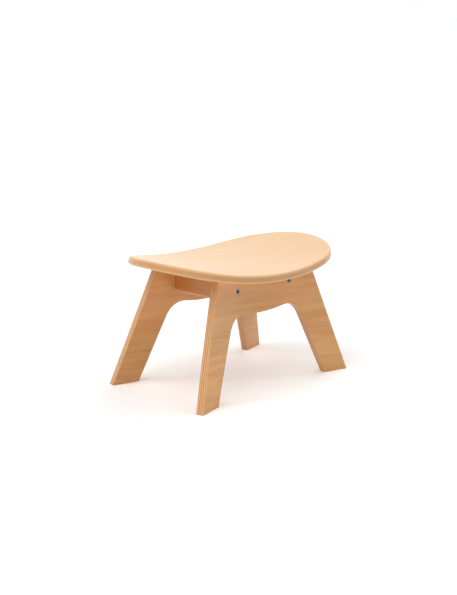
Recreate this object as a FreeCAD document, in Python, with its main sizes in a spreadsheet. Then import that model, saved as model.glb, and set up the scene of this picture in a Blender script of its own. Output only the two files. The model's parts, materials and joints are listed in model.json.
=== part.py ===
import FreeCAD, Part
import math
import os
import re

import Sketcher

# A low saddle stool of bent plywood: an oval seat, hollow along its length, on two bent leg panels
# that lean in towards each other, with two cross rails between them under the seat.
# The origin is on the floor under the middle of the stool, +X along the seat and +Y to the rear.
# Lengths are in millimetres and angles in degrees.

SIZES = [
    ("seat_ply", 15, "thickness of the seat's sheet"),
    ("seat_bend", 775, "radius of the seat's hollow top, about an axis along Y"),
    ("seat_dip_height", 228, "height of the lowest line of the seat's top above the floor"),
    ("seat_half_length", 221, "half length of the seat's oval, on the flat plane that touches its dip"),
    ("seat_half_width", 141, "half width of the seat's oval"),
    ("seat_side_radius", 575, "radius of the oval's two long sides"),
    ("seat_top_round", 5, "rounding of the seat's upper arris"),
    ("seat_low_round", 4, "rounding of the seat's lower arris"),
    ("leg_ply", 15, "thickness of a leg panel's sheet"),
    ("leg_bend", 700, "radius of a leg panel's hollow outer face, about an axis up the sheet"),
    ("leg_lean", 5.6, "how far each leg panel leans in from upright"),
    ("leg_inset", 43.5, "from the edge of the seat in to a panel's outer face, on the floor"),
    ("foot_outer", 208.5, "half the spread of a panel's outer edges on the floor, before the bend"),
    ("foot_inner", 151.5, "half the spread of a panel's inner edges on the floor, before the bend"),
    ("leg_outer_rake", 20.2, "how far a leg's outer edge is off upright"),
    ("leg_inner_rake", 23.3, "how far a leg's inner edge is off upright"),
    ("belly_height", 145, "height up the sheet of the apron's lowest point"),
    ("belly_radius", 350, "radius of the apron's lower edge, which hangs in the middle"),
    ("arch_round", 41.5, "radius of the corner between the apron and a leg"),
    ("leg_arris", 1.2, "rounding of a leg panel's arrises"),
    ("rail_centre", 72, "from the middle of the stool to the middle of a rail"),
    ("rail_width", 24, "width of a rail"),
    ("rail_low", 171.5, "height of a rail's underside above the floor"),
    ("rail_arris", 5, "rounding of a rail's two lower arrises"),
    ("bolt_height", 193.5, "height of the bolts up the sheet of a leg panel"),
    ("bolt_thread", 6, "diameter of a bolt's shank"),
    ("bolt_length", 50, "length of a bolt with its countersunk head"),
    ("bolt_head", 12, "diameter of a bolt's head"),
    ("bolt_sink", 0.3, "how far a bolt's head lies below the panel's face"),
    ("bolt_rim", 0.4, "height of the straight rim round a bolt's head"),
    ("bolt_tip", 0.75, "chamfer at a bolt's tip"),
    ("bolt_socket", 4, "width across flats of a bolt's hexagon socket"),
    ("bolt_socket_depth", 2.5, "depth of the hexagon socket"),
    ("nut_diameter", 10, "diameter of a barrel nut"),
    ("nut_length", 12, "length of a barrel nut"),
    ("nut_depth", 42, "from the panel's outer face to the middle of a barrel nut"),
    ("nut_slot_width", 1.2, "width of the slot in a barrel nut's open end"),
    ("nut_slot_depth", 1, "depth of that slot"),
    ("dowel_diameter", 8, "diameter of a locating dowel"),
    ("dowel_length", 28, "length of a locating dowel"),
    ("dowel_in_panel", 10, "length of a dowel that is in the leg panel"),
    ("dowel_rise", 13, "from a bolt's axis up to the dowel's axis"),
    ("dowel_chamfer", 1, "chamfer at a dowel's ends"),
    ("screw_thread", 4.5, "diameter of a seat screw"),
    ("screw_head", 9, "diameter of a seat screw's head"),
    ("screw_length", 40, "length of a seat screw with its head"),
    ("screw_bite", 10, "length of a seat screw that is in the seat"),
    ("screw_point", 4, "length of a seat screw's point"),
    ("screw_drive", 3, "width across flats of a seat screw's socket"),
    ("screw_drive_depth", 2, "depth of that socket"),
    ("screw_place", 20, "from the middle of a rail to each of its seat screws"),
    ("fit_gap", 0.1, "clearance round each bolt, nut, dowel and screw"),
    ("blank_margin", 10, "how far a blank or a cut runs past what it is trimmed to"),
]

ALIASES = re.compile(r"\b(" + "|".join(alias for alias, _, _ in SIZES) + r")\b")
TURNS = {"front": 0, "rear": 180}
ROWS = {"front": -1, "rear": 1}
SIDES = {"left": -1, "right": 1}


def bound(text):
    """Returns a formula of size names as an expression on the sheet."""
    return ALIASES.sub(r"sizes.\1", text)


def make_sheet(doc):
    """Writes the driving sizes, one row each."""
    sheet = doc.addObject("Spreadsheet::Sheet", "sizes")
    for row, (alias, value, meaning) in enumerate(SIZES, start=1):
        sheet.set(f"A{row}", meaning)
        sheet.set(f"B{row}", str(value))
        sheet.setAlias(f"B{row}", alias)
    doc.recompute()
    return sheet


def number(owner, text):
    """Returns the value of a formula of size names."""
    value = owner.evalExpression(bound(text))
    return float(getattr(value, "Value", value))


def shift(x=0, y=0, z=0):
    """Returns a placement that moves without turning."""
    return FreeCAD.Placement(FreeCAD.Vector(x, y, z), FreeCAD.Rotation())


def turn(axis, angle):
    """Returns a placement that turns about an axis through the origin."""
    return FreeCAD.Placement(FreeCAD.Vector(), FreeCAD.Rotation(axis, angle))


X_AXIS = FreeCAD.Vector(1, 0, 0)
Y_AXIS = FreeCAD.Vector(0, 1, 0)
Z_AXIS = FreeCAD.Vector(0, 0, 1)
UPRIGHT = turn(X_AXIS, 90)


def new_body(doc, name, placement):
    """Makes the body of one piece, under the piece's own name."""
    body = doc.addObject("PartDesign::Body", name)
    body.Label = name
    body.Placement = placement
    return body


class Drawing:
    """A sketch of a body whose dimensions follow the sheet, on the XY plane of a frame in that body."""

    def __init__(self, body, name, frame):
        plane = next(f for f in body.Origin.OriginFeatures if f.Role == "XY_Plane")
        self.body = body
        self.sketch = body.newObject("Sketcher::SketchObject", f"{body.Name}_{name}")
        self.sketch.AttachmentSupport = (plane, [""])
        self.sketch.MapMode = "FlatFace"
        self.sketch.AttachmentOffset = frame

    def value(self, text):
        return number(self.sketch, text)

    def hold(self, kind, *where, text):
        """Adds a dimension that follows a formula."""
        value = self.value(text)
        if kind == "Angle":
            value = math.radians(value)
        index = self.sketch.addConstraint(Sketcher.Constraint(kind, *where, value))
        self.sketch.setExpression(f"Constraints[{index}]", bound(text))

    def join(self, kind, first, second):
        """Joins the end of one curve to the start of another."""
        self.sketch.addConstraint(Sketcher.Constraint(kind, first, 2, second, 1))

    def place(self, curve, point, x, y):
        """Holds a point of a curve at two formulas, or on an axis where a formula is 0."""
        for kind, axis, text in (("DistanceX", -2, x), ("DistanceY", -1, y)):
            if text == "0":
                self.sketch.addConstraint(Sketcher.Constraint("PointOnObject", curve, point, axis))
            else:
                self.hold(kind, -1, 1, curve, point, text=text)

    def line(self, start, end):
        return self.sketch.addGeometry(Part.LineSegment(start, end), False)

    def arc(self, centre, radius, start, end):
        """Adds an arc that runs anticlockwise between two angles in radians."""
        circle = Part.Circle(centre, Z_AXIS, radius)
        return self.sketch.addGeometry(Part.ArcOfCircle(circle, start, end), False)

    def circle(self, radius, x="0", y="0"):
        centre = FreeCAD.Vector(self.value(x), self.value(y), 0)
        curve = self.sketch.addGeometry(Part.Circle(centre, Z_AXIS, self.value(radius)), False)
        self.place(curve, 3, x, y)
        self.hold("Radius", curve, text=radius)

    def polygon(self, corners):
        """Adds a closed outline of straight lines, each corner a pair of formulas."""
        points = [FreeCAD.Vector(self.value(x), self.value(y), 0) for x, y in corners]
        curves = [self.line(a, b) for a, b in zip(points, points[1:] + points[:1])]
        for curve, following in zip(curves, curves[1:] + curves[:1]):
            self.join("Coincident", curve, following)
        for curve, (x, y) in zip(curves, corners):
            self.place(curve, 1, x, y)

    def hexagon(self, across):
        """Adds a regular hexagon about the origin, of a given width across its flats."""
        reach = f"{across} / 2 / cos(30 deg)"
        angles = [f"{corner * 60} deg" for corner in range(6)]
        self.polygon([(f"{reach} * cos({a})", f"{reach} * sin({a})") for a in angles])

    def feature(self, kind, name, **settings):
        """Makes a feature of the body from this sketch and sets its plain properties."""
        feature = self.body.newObject(f"PartDesign::{kind}", f"{self.body.Name}_{name}")
        feature.Profile = self.sketch
        for key, value in settings.items():
            setattr(feature, key, value)
        self.body.Document.recompute()
        return feature

    def pad(self, name, length, **settings):
        feature = self.feature("Pad", name, **settings)
        feature.setExpression("Length", bound(length))

    def cut_through(self, name):
        """Cuts the profile right through the body, both ways."""
        self.feature("Pocket", name, Type="ThroughAll", SideType="Symmetric")

    def cut_down(self, name, length, **settings):
        """Cuts the profile to a depth, against the frame's Z unless reversed."""
        feature = self.feature("Pocket", name, **settings)
        feature.setExpression("Length", bound(length))

    def revolve(self, kind, name):
        """Turns the profile about the frame's own axis that is up the sketch."""
        feature = self.feature(kind, name)
        feature.ReferenceAxis = (self.sketch, ["V_Axis"])
        feature.Angle = 360


def loft_between(kind, name, drawings):
    """Adds or takes away a form with straight sides between two drawings of one body."""
    near, far = drawings
    near.feature(kind, name, Sections=[far.sketch], Ruled=True)


def dress_edges(body, kind, name, wanted):
    """Adds a fillet or a chamfer on the edges of the body's last feature that a test picks."""
    body.Document.recompute()
    last = body.Tip
    edges = [f"Edge{k}" for k, edge in enumerate(last.Shape.Edges, start=1) if wanted(edge)]
    dressed = body.newObject(f"PartDesign::{kind}", f"{body.Name}_{name}")
    dressed.Base = (last, edges)
    return dressed


def round_edges(body, name, radius, wanted):
    """Rounds the edges that a test picks."""
    dress_edges(body, "Fillet", name, wanted).setExpression("Radius", bound(radius))


def ease_edges(body, name, size, wanted):
    """Chamfers the edges that a test picks."""
    dress_edges(body, "Chamfer", name, wanted).setExpression("Size", bound(size))


def lies_on_cylinder(edge, axis_point, axis, radius):
    """Tells whether both ends and the middle of an edge are one distance from an axis."""
    first, last = edge.ParameterRange
    points = [edge.valueAt(first + (last - first) * share) for share in (0, 0.37, 0.71, 1)]
    away = [point.sub(axis_point).cross(axis).Length for point in points]
    return all(abs(distance - radius) < 0.01 for distance in away)


def is_level(edge, height):
    """Tells whether an edge lies on a level plane of the body."""
    box = edge.BoundBox
    return max(abs(box.ZMin - height), abs(box.ZMax - height)) < 0.01


def runs_along_y(edge):
    """Tells whether an edge is a straight line along Y."""
    box = edge.BoundBox
    return box.YLength > 10 * max(box.XLength, box.ZLength)


# The frames that the pieces share


def panel_frame(sheet, turned):
    """The frame of a leg panel: XY level with the floor line, Z up the sheet, its outside at -Y."""
    stance = sheet.seat_half_width - sheet.leg_inset
    return turn(Z_AXIS, turned) * shift(y=-stance) * turn(X_AXIS, -sheet.leg_lean)


def bolt_frame(sheet, side):
    """The frame of a bolt on the panel's outer face, in the panel: Z out along the bolt, Y up."""
    inner_radius = sheet.leg_bend + sheet.leg_ply
    swing = side * math.degrees(math.asin(sheet.rail_centre / inner_radius))
    at_axis = shift(y=-sheet.leg_bend, z=sheet.bolt_height) * turn(Z_AXIS, -swing)
    return at_axis * shift(y=sheet.leg_bend) * UPRIGHT


def nut_frame(sheet, side):
    """The frame of a barrel nut, in the panel: Z along the nut to its open end, X across the bolt."""
    return bolt_frame(sheet, side) * shift(z=-sheet.nut_depth) * turn(Y_AXIS, -90 * side)


def dowel_frame(sheet, side):
    """The frame of a dowel's end in the panel: Z out along the dowel."""
    depth = sheet.leg_ply - sheet.dowel_in_panel
    return bolt_frame(sheet, side) * shift(y=sheet.dowel_rise, z=-depth)


def screw_frame(sheet, side, row):
    """The frame of a seat screw's point: Z up the screw."""
    reach = sheet.seat_bend + sheet.seat_ply
    dip = reach - math.sqrt(reach**2 - sheet.rail_centre**2)
    underside = sheet.seat_dip_height - sheet.seat_ply + dip
    return shift(side * sheet.rail_centre, row * sheet.screw_place, underside + sheet.screw_bite)


# The shapes that holes share with what goes in them

BOLT_CONE = "(bolt_head - bolt_thread) / 2"
SCREW_CONE = "(screw_head - screw_thread) / 2"


def bolt_hole_profile(depth):
    """Half the section of a bolt's hole from outside the panel to a depth below its face."""
    return [
        ("0", "blank_margin"),
        ("bolt_head / 2 + fit_gap", "blank_margin"),
        ("bolt_head / 2 + fit_gap", "-bolt_sink - bolt_rim - fit_gap"),
        ("bolt_thread / 2 + fit_gap", f"-bolt_sink - bolt_rim - {BOLT_CONE} - fit_gap"),
        ("bolt_thread / 2 + fit_gap", f"-({depth})"),
        ("0", f"-({depth})"),
    ]


def cut_bolt_hole(body, name, frame, depth):
    """Cuts a bolt's countersunk hole, from outside the panel inwards."""
    hole = Drawing(body, f"{name}_section", frame * UPRIGHT)
    hole.polygon(bolt_hole_profile(depth))
    hole.revolve("Groove", name)


def drill(body, name, frame, radius, depth, **settings):
    """Cuts a round hole from a frame's origin, against its Z unless reversed."""
    hole = Drawing(body, f"{name}_circle", frame)
    hole.circle(radius)
    hole.cut_down(name, depth, **settings)


def drill_for_dowel(body, name, frame):
    """Cuts a dowel's hole from its end in the panel to its end in the rail."""
    past_end = frame * shift(z=number(body, "fit_gap"))
    drill(body, name, past_end, "dowel_diameter / 2 + fit_gap", "dowel_length + 2 * fit_gap")


def cut_under_seat(body, frame):
    """Cuts a piece off along the seat's curved underside."""
    underside = Drawing(body, "under_seat", frame)
    underside.circle("seat_bend + seat_ply", y="seat_dip_height + seat_bend")
    underside.cut_through("top")


def cut_to_sheet(body, name, frame, bend, ply, blank_reach, centre):
    """Leaves a bent sheet of a blank: the room in its bend and all behind it are cut away."""
    faces = Drawing(body, "faces", frame)
    for radius in (bend, f"{bend} + {ply}", f"{bend} + {ply} + {blank_reach} + 4 * blank_margin"):
        faces.circle(radius, y=centre)
    faces.cut_through(name)


def make_seat(doc, sheet):
    """The seat: an oval cut square to a bent sheet, with rounded arrises and pilot holes below."""
    body = new_body(doc, "seat", shift(z=sheet.seat_dip_height))
    above = "(seat_half_length^2 / (2 * seat_bend) + blank_margin)"
    below = "(-seat_ply - blank_margin)"
    outlines = []
    for name, height in (("outline_above", above), ("outline_below", below)):
        drawing = Drawing(body, name, shift(z=number(body, height)))
        draw_oval(drawing, f"(1 - {height} / seat_bend)")
        outlines.append(drawing)
    loft_between("AdditiveLoft", "oval", outlines)
    cut_to_sheet(body, "bend", UPRIGHT, "seat_bend", "seat_ply", above, "seat_bend")

    axis_point = FreeCAD.Vector(0, 0, sheet.seat_bend)
    for name, radius, rounding in (
        ("top_round", sheet.seat_bend, "seat_top_round"),
        ("low_round", sheet.seat_bend + sheet.seat_ply, "seat_low_round"),
    ):
        round_edges(body, name, rounding, lambda e: lies_on_cylinder(e, axis_point, Y_AXIS, radius))

    to_body = body.Placement.inverse()
    for side_name, side in SIDES.items():
        for row_name, row in ROWS.items():
            point = to_body * screw_frame(sheet, side, row) * shift(z=sheet.fit_gap)
            name = f"{row_name}_{side_name}_pilot"
            drill(body, name, point, "screw_thread / 2 + fit_gap", "screw_length")
    return body


def draw_oval(drawing, scale):
    """Draws the seat's oval of four arcs, its length scaled to the drawing's plane."""
    length = f"(seat_half_length * {scale})"
    side_radius = f"(seat_side_radius * {scale}^2)"
    width = "seat_half_width"
    end_radius = (
        f"((2 * {side_radius} * {width} - {length}^2 - {width}^2) / (2 * ({side_radius} - {length})))"
    )
    end_x = drawing.value(f"{length} - {end_radius}")
    side_y = drawing.value(f"{width} - {side_radius}")
    joint = math.atan2(-side_y, end_x)
    radii = (drawing.value(end_radius), drawing.value(side_radius))
    centres = ((end_x, 0), (0, side_y), (-end_x, 0), (0, -side_y))
    angles = (-joint, joint, math.pi - joint, math.pi + joint, 2 * math.pi - joint)
    arcs = []
    for k, (x, y) in enumerate(centres):
        centre = FreeCAD.Vector(x, y, 0)
        arcs.append(drawing.arc(centre, radii[k % 2], angles[k], angles[k + 1]))
    right_end, far_side, left_end, near_side = arcs
    for arc, following in zip(arcs, arcs[1:] + arcs[:1]):
        drawing.join("Tangent", arc, following)
    drawing.place(right_end, 3, f"{length} - {end_radius}", "0")
    drawing.place(far_side, 3, "0", f"{width} - {side_radius}")
    drawing.hold("Radius", far_side, text=side_radius)
    sketch = drawing.sketch
    sketch.addConstraint(Sketcher.Constraint("PointOnObject", left_end, 3, -1))
    sketch.addConstraint(Sketcher.Constraint("Equal", far_side, near_side))


def make_leg_panel(doc, name, sheet, turned):
    """A leg panel: two splayed legs and an apron in one bent sheet, trimmed to floor and seat."""
    body = new_body(doc, name, panel_frame(sheet, turned))
    top = "(seat_dip_height / cos(leg_lean * 1 deg) + blank_margin)"
    outer = "tan(leg_outer_rake * 1 deg)"
    in_front = "(-blank_margin - (foot_outer + blank_margin)^2 / (2 * leg_bend))"
    behind = "(leg_ply + blank_margin)"

    outlines = []
    arches = []
    for plane, depth in (("in_front", in_front), ("behind", behind)):
        frame = shift(y=number(body, depth)) * UPRIGHT
        scale = f"(1 + {depth} / leg_bend)"
        low = f"(foot_outer + blank_margin * {outer}) * {scale}"
        high = f"(foot_outer - {top} * {outer}) * {scale}"
        outline = Drawing(body, f"outline_{plane}", frame)
        outline.polygon([
            (f"-({low})", "-blank_margin"),
            (low, "-blank_margin"),
            (high, top),
            (f"-({high})", top),
        ])
        outlines.append(outline)
        arch = Drawing(body, f"arch_{plane}", frame)
        draw_arch(arch, scale)
        arches.append(arch)
    loft_between("AdditiveLoft", "blank", outlines)
    loft_between("SubtractiveLoft", "arch", arches)
    cut_to_sheet(body, "bend", shift(), "leg_bend", "leg_ply", f"-{in_front}", "-leg_bend")

    axis_point = FreeCAD.Vector(0, -sheet.leg_bend, 0)
    radii = (sheet.leg_bend, sheet.leg_bend + sheet.leg_ply)
    levels = (-sheet.blank_margin, number(body, top))
    round_edges(
        body,
        "arrises",
        "leg_arris",
        lambda edge: any(lies_on_cylinder(edge, axis_point, Z_AXIS, radius) for radius in radii)
        and not any(is_level(edge, level) for level in levels),
    )

    level = turn(X_AXIS, sheet.leg_lean) * UPRIGHT
    floor = Drawing(body, "floor", level)
    wide = "(foot_outer + 2 * blank_margin)"
    deep = "-4 * blank_margin"
    floor.polygon([(f"-{wide}", "0"), (wide, "0"), (wide, deep), (f"-{wide}", deep)])
    floor.cut_through("feet")
    cut_under_seat(body, level)

    for side_name, side in SIDES.items():
        bolt = bolt_frame(sheet, side)
        cut_bolt_hole(body, f"{side_name}_bolt_hole", bolt, "leg_ply + blank_margin")
        drill_for_dowel(body, f"{side_name}_dowel_hole", dowel_frame(sheet, side))
    return body


def draw_arch(drawing, scale):
    """Draws the opening between the legs, its width scaled to the drawing's plane."""
    slope = f"(tan(leg_inner_rake * 1 deg) * {scale})"
    foot = f"((foot_inner + 2 * blank_margin * tan(leg_inner_rake * 1 deg)) * {scale})"
    foot_x = drawing.value(foot)
    foot_y = -drawing.value("2 * blank_margin")
    rake = math.atan(drawing.value(slope))
    corner = drawing.value("arch_round")
    belly = drawing.value("belly_radius")
    belly_centre = FreeCAD.Vector(0, drawing.value("belly_height + belly_radius"), 0)

    # The corner's centre is its radius inside the leg's edge, and both radii from the belly's centre
    up_edge = FreeCAD.Vector(-math.sin(rake), math.cos(rake), 0)
    inward = FreeCAD.Vector(-math.cos(rake), -math.sin(rake), 0)
    start = FreeCAD.Vector(foot_x, foot_y, 0) + inward * corner
    away = start - belly_centre
    along = away.dot(up_edge)
    reach = -along - math.sqrt(along**2 - away.dot(away) + (belly + corner) ** 2)
    centre = start + up_edge * reach
    on_edge = centre - inward * corner
    to_belly = (belly_centre - centre).normalize()
    on_belly = centre + to_belly * corner

    def mirrored(point):
        return FreeCAD.Vector(-point.x, point.y, 0)

    edge_angle = rake
    belly_angle = math.atan2(to_belly.y, to_belly.x)
    belly_half = math.asin(on_belly.x / belly)
    down = -math.pi / 2
    foot_right = FreeCAD.Vector(foot_x, foot_y, 0)
    bottom = drawing.line(mirrored(foot_right), foot_right)
    right_edge = drawing.line(foot_right, on_edge)
    right_corner = drawing.arc(centre, corner, edge_angle, belly_angle)
    apron = drawing.arc(belly_centre, belly, down - belly_half, down + belly_half)
    left_corner = drawing.arc(mirrored(centre), corner, math.pi - belly_angle, math.pi - edge_angle)
    left_edge = drawing.line(mirrored(on_edge), mirrored(foot_right))

    sketch = drawing.sketch
    tie = Sketcher.Constraint
    sketch.addConstraint([
        tie("Coincident", bottom, 2, right_edge, 1),
        tie("Coincident", left_edge, 2, bottom, 1),
        tie("Tangent", right_edge, 2, right_corner, 1),
        tie("Tangent", right_corner, 2, apron, 2),
        tie("Tangent", apron, 1, left_corner, 1),
        tie("Tangent", left_corner, 2, left_edge, 1),
        tie("Equal", right_corner, left_corner),
        tie("Symmetric", bottom, 1, bottom, 2, -2),
    ])
    drawing.place(bottom, 2, foot, "-2 * blank_margin")
    drawing.place(apron, 3, "0", "belly_height + belly_radius")
    drawing.hold("Radius", apron, text="belly_radius")
    drawing.hold("Radius", right_corner, text="arch_round")
    drawing.hold("Angle", right_edge, text=f"90 deg + atan({slope})")
    drawing.hold("Angle", left_edge, text=f"-90 deg - atan({slope})")


def make_rail(doc, name, sheet, turned):
    """A cross rail between the leg panels, its top bedded to the seat and its ends to the panels."""
    body = new_body(doc, name, turn(Z_AXIS, turned))
    section = Drawing(body, "section", UPRIGHT)
    inner = "rail_centre - rail_width / 2"
    outer = "rail_centre + rail_width / 2"
    top = "seat_dip_height + blank_margin"
    section.polygon([(inner, "rail_low"), (outer, "rail_low"), (outer, top), (inner, top)])
    section.pad("bar", "2 * (seat_half_width - leg_inset)", SideType="Symmetric")
    on_underside = lambda edge: is_level(edge, sheet.rail_low) and runs_along_y(edge)
    round_edges(body, "arrises", "rail_arris", on_underside)
    cut_under_seat(body, UPRIGHT)

    # The body is the rail at the right, turned about for the left one, so both ends are cut alike
    to_closed_end = shift(z=-number(body, "nut_length / 2 + fit_gap"))
    for end_name, end_turn in TURNS.items():
        panel = panel_frame(sheet, end_turn)
        side = 1 if end_turn == 0 else -1
        end = Drawing(body, f"{end_name}_end_circle", panel)
        end.circle("leg_bend + leg_ply", y="-leg_bend")
        end.cut_through(f"{end_name}_end")

        bolt = panel * bolt_frame(sheet, side)
        cut_bolt_hole(body, f"{end_name}_bolt_hole", bolt, "bolt_length + blank_margin / 2")
        drill_for_dowel(body, f"{end_name}_dowel_hole", panel * dowel_frame(sheet, side))
        nut = panel * nut_frame(sheet, side) * to_closed_end
        nut_radius = "nut_diameter / 2 + fit_gap"
        drill(body, f"{end_name}_nut_hole", nut, nut_radius, "nut_length + rail_width", Reversed=True)

    to_head = shift(z=-number(body, f"screw_length - {SCREW_CONE}"))
    for row_name, row in ROWS.items():
        point = screw_frame(sheet, 1, row)
        clear = "screw_thread / 2 + fit_gap"
        drill(body, f"{row_name}_screw_hole", point, clear, "screw_length + seat_dip_height")
        bore = "screw_head / 2 + 2 * fit_gap"
        drill(body, f"{row_name}_bore", point * to_head, bore, "seat_dip_height")
    return body


def make_bolt(doc, name, sheet, placement):
    """A countersunk bolt with a hexagon socket, from its head down."""
    body = new_body(doc, name, placement)
    section = Drawing(body, "section", UPRIGHT)
    section.polygon([
        ("0", "-bolt_sink"),
        ("bolt_head / 2", "-bolt_sink"),
        ("bolt_head / 2", "-bolt_sink - bolt_rim"),
        ("bolt_thread / 2", f"-bolt_sink - bolt_rim - {BOLT_CONE}"),
        ("bolt_thread / 2", "-bolt_length + bolt_tip"),
        ("bolt_thread / 2 - bolt_tip", "-bolt_length"),
        ("0", "-bolt_length"),
    ])
    section.revolve("Revolution", "turned")
    socket = Drawing(body, "socket", shift(z=-sheet.bolt_sink))
    socket.hexagon("bolt_socket")
    socket.cut_down("hexagon", "bolt_socket_depth")
    return body


def make_nut(doc, name, sheet, placement):
    """A barrel nut with a cross hole for the bolt and a slot in its open end."""
    body = new_body(doc, name, placement)
    circle = Drawing(body, "circle", shift())
    circle.circle("nut_diameter / 2")
    circle.pad("barrel", "nut_length", SideType="Symmetric")
    cross = Drawing(body, "cross_circle", turn(Y_AXIS, 90))
    cross.circle("bolt_thread / 2 + fit_gap")
    cross.cut_through("cross_hole")
    slot = Drawing(body, "slot_outline", shift(z=sheet.nut_length / 2))
    half = "nut_slot_width / 2"
    past = "nut_diameter"
    slot.polygon([(f"-{past}", f"-{half}"), (past, f"-{half}"), (past, half), (f"-{past}", half)])
    slot.cut_down("slot", "nut_slot_depth")
    return body


def make_dowel(doc, name, placement):
    """A wooden locating dowel with eased ends."""
    body = new_body(doc, name, placement)
    circle = Drawing(body, "circle", shift())
    circle.circle("dowel_diameter / 2")
    circle.pad("rod", "dowel_length", Reversed=True)
    ease_edges(body, "ends", "dowel_chamfer", lambda edge: edge.Closed)
    return body


def make_screw(doc, name, sheet, placement):
    """A countersunk wood screw, point up, with a hexagon socket in its head."""
    body = new_body(doc, name, placement)
    section = Drawing(body, "section", UPRIGHT)
    section.polygon([
        ("0", "0"),
        ("screw_thread / 2", "-screw_point"),
        ("screw_thread / 2", f"-screw_length + {SCREW_CONE}"),
        ("screw_head / 2", "-screw_length"),
        ("0", "-screw_length"),
    ])
    section.revolve("Revolution", "turned")
    socket = Drawing(body, "socket", shift(z=-sheet.screw_length))
    socket.hexagon("screw_drive")
    socket.cut_down("hexagon", "screw_drive_depth", Reversed=True)
    return body


def make_stool(doc, sheet):
    """Makes every piece of the stool and returns their bodies."""
    pieces = [make_seat(doc, sheet)]
    for end_name, turned in TURNS.items():
        pieces.append(make_leg_panel(doc, f"{end_name}_leg_panel", sheet, turned))
    pieces.append(make_rail(doc, "right_rail", sheet, 0))
    pieces.append(make_rail(doc, "left_rail", sheet, 180))
    for end_name, turned in TURNS.items():
        panel = panel_frame(sheet, turned)
        for side_name, side in SIDES.items():
            where = f"{end_name}_{side_name}"
            in_panel = side if turned == 0 else -side
            bolt = panel * bolt_frame(sheet, in_panel)
            nut = panel * nut_frame(sheet, in_panel)
            dowel = panel * dowel_frame(sheet, in_panel)
            screw = screw_frame(sheet, side, ROWS[end_name])
            pieces.append(make_bolt(doc, f"{where}_bolt", sheet, bolt))
            pieces.append(make_nut(doc, f"{where}_barrel_nut", sheet, nut))
            pieces.append(make_dowel(doc, f"{where}_dowel", dowel))
            pieces.append(make_screw(doc, f"{where}_seat_screw", sheet, screw))
    return pieces


def check(doc, pieces):
    """Stops the build where an object failed or a piece is not one valid solid."""
    doc.recompute()
    for item in doc.Objects:
        if "Invalid" in item.State or "Error" in item.State:
            raise RuntimeError(f"{item.Label} failed: {item.State}")
    for piece in pieces:
        shape = piece.Shape
        if shape.isNull() or not shape.isValid() or len(shape.Solids) != 1:
            raise RuntimeError(f"{piece.Label} is not one valid solid")


def main():
    """Builds the stool, checks it and writes one file for each piece."""
    doc = FreeCAD.newDocument("stool")
    sheet = make_sheet(doc)
    pieces = make_stool(doc, sheet)
    check(doc, pieces)
    os.makedirs("parts", exist_ok=True)
    for piece in pieces:
        piece.Shape.exportStep(f"parts/{piece.Label}.step")
        box = piece.Shape.BoundBox
        extents = f"{box.XLength:.1f} x {box.YLength:.1f} x {box.ZLength:.1f} mm"
        print(f"{piece.Label}: {piece.Shape.Volume / 1000:.1f} cm3, {extents}")


main()
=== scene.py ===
"""A low saddle stool of bent beech plywood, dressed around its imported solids.

Lengths are in metres unless a docstring says otherwise, +X runs along the seat and +Y to the rear.
"""

import json
import logging
import math
from dataclasses import dataclass
from enum import Enum
from typing import Any

import bpy
from mathutils import Matrix, Vector

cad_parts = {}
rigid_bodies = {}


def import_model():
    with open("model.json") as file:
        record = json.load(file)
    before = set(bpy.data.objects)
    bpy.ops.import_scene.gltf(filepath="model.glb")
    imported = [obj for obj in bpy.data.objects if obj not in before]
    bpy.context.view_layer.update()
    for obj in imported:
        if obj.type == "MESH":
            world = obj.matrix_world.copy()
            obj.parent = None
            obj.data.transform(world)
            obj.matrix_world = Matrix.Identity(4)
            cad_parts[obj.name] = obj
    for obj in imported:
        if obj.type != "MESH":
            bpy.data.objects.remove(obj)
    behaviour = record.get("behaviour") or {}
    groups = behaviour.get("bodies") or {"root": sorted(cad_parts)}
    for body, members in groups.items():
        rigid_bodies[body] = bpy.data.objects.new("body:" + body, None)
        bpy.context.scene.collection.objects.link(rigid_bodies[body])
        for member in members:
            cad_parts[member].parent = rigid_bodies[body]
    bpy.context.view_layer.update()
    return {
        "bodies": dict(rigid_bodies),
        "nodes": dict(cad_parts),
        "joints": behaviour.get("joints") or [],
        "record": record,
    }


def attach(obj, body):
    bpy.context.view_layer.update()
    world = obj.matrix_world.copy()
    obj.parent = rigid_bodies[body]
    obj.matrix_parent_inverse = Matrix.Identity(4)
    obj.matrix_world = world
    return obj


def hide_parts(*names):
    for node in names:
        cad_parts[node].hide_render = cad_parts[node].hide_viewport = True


LOG = logging.getLogger("stool")
MM = 0.001
IMAGE_WIDTH = 457
IMAGE_HEIGHT = 595
# How far the mouth of a hexagon socket is eased, in millimetres.
SOCKET_EASE = 0.4
# The greatest share of the pale tone painted on the arrises as a highlight, where their rounding
# catches the light.
ARRIS_HIGHLIGHT_SHARE = 0.3
Triple = tuple[float, float, float]
Span = tuple[float, float]


def to_linear(hex_colour: str) -> tuple[float, float, float, float]:
    """Turns an sRGB hex colour into linear light.

    Args:
        hex_colour: Six hex digits after a hash sign.

    Returns:
        Linear red, green and blue, and an alpha of 1.
    """
    channels = [int(hex_colour[i : i + 2], 16) / 255 for i in (1, 3, 5)]
    linear = [c / 12.92 if c <= 0.04045 else ((c + 0.055) / 1.055) ** 2.4 for c in channels]
    return (*linear, 1.0)


def add_node(
    tree: bpy.types.NodeTree, kind: str, sockets: dict | None = None, **settings: Any
) -> bpy.types.Node:
    """Adds a node to a tree, with its settings and links.

    Args:
        tree: The node tree that gets the node.
        kind: The node's Blender type.
        sockets: Input name or index to a constant, or to the output socket that feeds it.
        **settings: Properties of the node itself.

    Returns:
        The new node.
    """
    node = tree.nodes.new(kind)
    for key, value in settings.items():
        setattr(node, key, value)
    for key, value in (sockets or {}).items():
        if isinstance(value, bpy.types.NodeSocket):
            tree.links.new(value, node.inputs[key])
        else:
            node.inputs[key].default_value = value
    return node


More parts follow.
